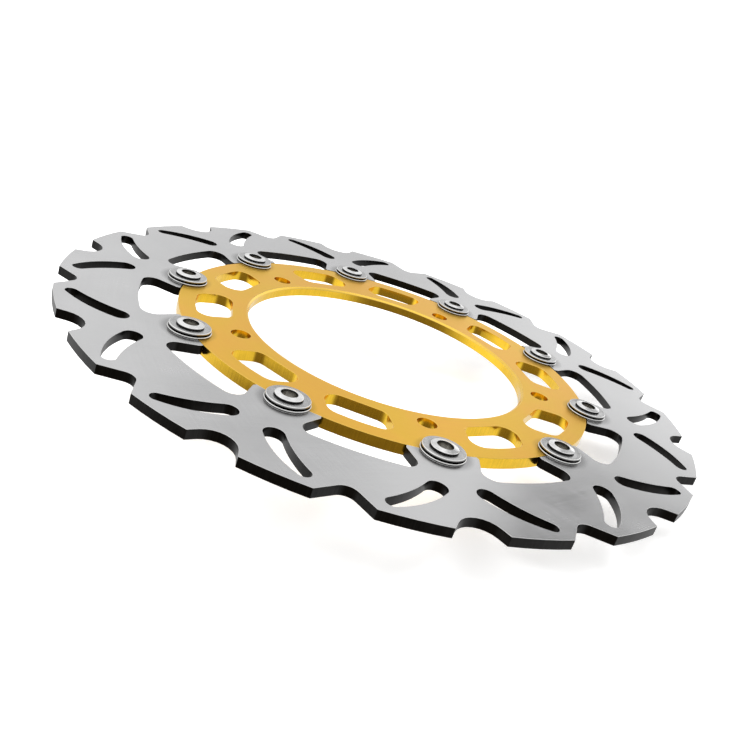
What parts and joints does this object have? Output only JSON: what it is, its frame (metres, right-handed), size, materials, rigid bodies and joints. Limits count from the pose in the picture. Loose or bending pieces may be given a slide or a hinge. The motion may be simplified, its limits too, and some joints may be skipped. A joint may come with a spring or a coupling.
{
  "type": "floating brake disc rotor",
  "caption": "Motorcycle front brake rotor: a slotted steel friction disc with a scalloped rim, floating on hollow riveted bobbins in a flat gold anodised carrier that bolts to the wheel hub.",
  "frame": {"origin": "centre of the hub bore on the hub-side face of the carrier", "axes": "+Z along the wheel axis, away from the hub; +X through a bolt hole and the bobbin outside it"},
  "size_m": [0.2968, 0.2966, 0.0082],
  "materials": {
    "disc_steel": "ground faces, dark cut walls",
    "gold_anodised": "satin gold anodised",
    "bobbin_steel": "turned, bright",
    "washer_steel": "satin",
    "spring_steel": "bright rolled sheet"
  },
  "bodies": {
    "carrier": {"carrier": "gold_anodised"},
    "disc": {"disc": "disc_steel"},
    "bobbin_01": {"bobbin_01": "bobbin_steel", "flat_washer_01": "washer_steel", "spring_washer_01": "spring_steel"},
    "bobbin_02": {"bobbin_02": "bobbin_steel", "flat_washer_02": "washer_steel", "spring_washer_02": "spring_steel"},
    "bobbin_03": {"bobbin_03": "bobbin_steel", "flat_washer_03": "washer_steel", "spring_washer_03": "spring_steel"},
    "bobbin_04": {"bobbin_04": "bobbin_steel", "flat_washer_04": "washer_steel", "spring_washer_04": "spring_steel"},
    "bobbin_05": {"bobbin_05": "bobbin_steel", "flat_washer_05": "washer_steel", "spring_washer_05": "spring_steel"},
    "bobbin_06": {"bobbin_06": "bobbin_steel", "flat_washer_06": "washer_steel", "spring_washer_06": "spring_steel"},
    "bobbin_07": {"bobbin_07": "bobbin_steel", "flat_washer_07": "washer_steel", "spring_washer_07": "spring_steel"},
    "bobbin_08": {"bobbin_08": "bobbin_steel", "flat_washer_08": "washer_steel", "spring_washer_08": "spring_steel"},
    "bobbin_09": {"bobbin_09": "bobbin_steel", "flat_washer_09": "washer_steel", "spring_washer_09": "spring_steel"},
    "bobbin_10": {"bobbin_10": "bobbin_steel", "flat_washer_10": "washer_steel", "spring_washer_10": "spring_steel"}
  },
  "joints": [
    {"name": "disc_float", "type": "slide", "parent": "carrier", "child": "disc", "axis": [0, 0, 1], "range_m": [0, 0.0004], "stiffness_N_per_m": 20000, "springref_m": -0.0005, "deforming": ["spring_washer_01", "spring_washer_02", "spring_washer_03", "spring_washer_04", "spring_washer_05", "spring_washer_06", "spring_washer_07", "spring_washer_08", "spring_washer_09", "spring_washer_10"]},
    {"name": "bobbin_01_turn", "type": "hinge", "parent": "carrier", "child": "bobbin_01", "pos_m": [0.098, 0, 0], "axis": [0, 0, 1], "continuous": true},
    {"name": "bobbin_02_turn", "type": "hinge", "parent": "carrier", "child": "bobbin_02", "pos_m": [0.07928, 0.0576, 0], "axis": [0, 0, 1], "continuous": true},
    {"name": "bobbin_03_turn", "type": "hinge", "parent": "carrier", "child": "bobbin_03", "pos_m": [0.03028, 0.0932, 0], "axis": [0, 0, 1], "continuous": true},
    {"name": "bobbin_04_turn", "type": "hinge", "parent": "carrier", "child": "bobbin_04", "pos_m": [-0.03028, 0.0932, 0], "axis": [0, 0, 1], "continuous": true},
    {"name": "bobbin_05_turn", "type": "hinge", "parent": "carrier", "child": "bobbin_05", "pos_m": [-0.07928, 0.0576, 0], "axis": [0, 0, 1], "continuous": true},
    {"name": "bobbin_06_turn", "type": "hinge", "parent": "carrier", "child": "bobbin_06", "pos_m": [-0.098, 0, 0], "axis": [0, 0, 1], "continuous": true},
    {"name": "bobbin_07_turn", "type": "hinge", "parent": "carrier", "child": "bobbin_07", "pos_m": [-0.07928, -0.0576, 0], "axis": [0, 0, 1], "continuous": true},
    {"name": "bobbin_08_turn", "type": "hinge", "parent": "carrier", "child": "bobbin_08", "pos_m": [-0.03028, -0.0932, 0], "axis": [0, 0, 1], "continuous": true},
    {"name": "bobbin_09_turn", "type": "hinge", "parent": "carrier", "child": "bobbin_09", "pos_m": [0.03028, -0.0932, 0], "axis": [0, 0, 1], "continuous": true},
    {"name": "bobbin_10_turn", "type": "hinge", "parent": "carrier", "child": "bobbin_10", "pos_m": [0.07928, -0.0576, 0], "axis": [0, 0, 1], "continuous": true}
  ]
}
